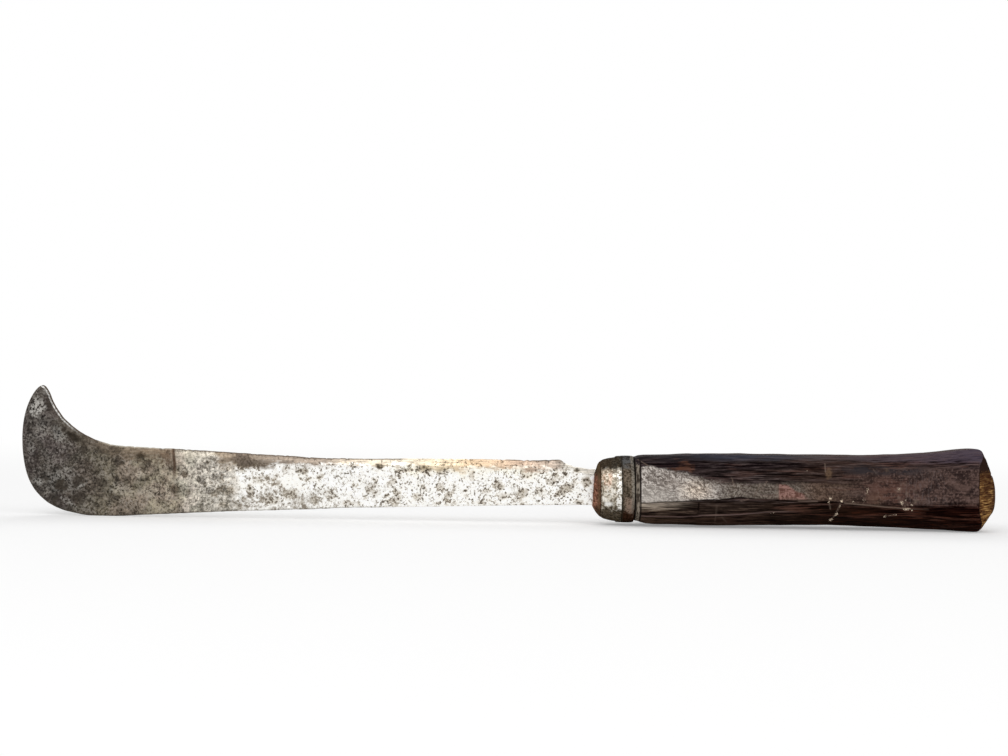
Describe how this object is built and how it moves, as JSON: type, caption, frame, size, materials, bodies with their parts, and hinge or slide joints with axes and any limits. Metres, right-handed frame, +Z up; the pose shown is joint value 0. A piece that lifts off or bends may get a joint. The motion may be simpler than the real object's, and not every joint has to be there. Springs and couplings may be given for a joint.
{
  "type": "billhook",
  "caption": "Long-bladed billhook with an upturned hook sharpened on its inner side, a stepped iron ferrule and a shaved wooden handle that flares to a domed butt.",
  "frame": {"origin": "on the ground, under the middle of the tool's bounding box", "axes": "+X from the hook towards the butt, +Z up towards the cutting edge and the hook's tip, Y across the thickness; the tang's axis leans 1 degree so that the tool stands on the hook's belly and the underside of the butt"},
  "size_m": [0.5006, 0.0374, 0.0664],
  "materials": {
    "blade_steel": "old forged steel, grey-brown patina, pitted, satin",
    "bolster_iron": "red-brown rusted forged iron",
    "cap_iron": "bright worn iron, pitted",
    "ring_iron": "dark brown iron, satin",
    "handle_wood": "very dark old hardwood, hand-polished, checked and chipped",
    "pitch": "black cutler's pitch",
    "rove_iron": "dull grey-brown iron"
  },
  "bodies": {
    "root": {"blade": "blade_steel", "bolster": "bolster_iron", "ferrule_cap": "cap_iron", "ferrule_ring": "ring_iron", "handle": "handle_wood", "tang_bedding": "pitch", "butt_rove": "rove_iron"}
  },
  "joints": []
}
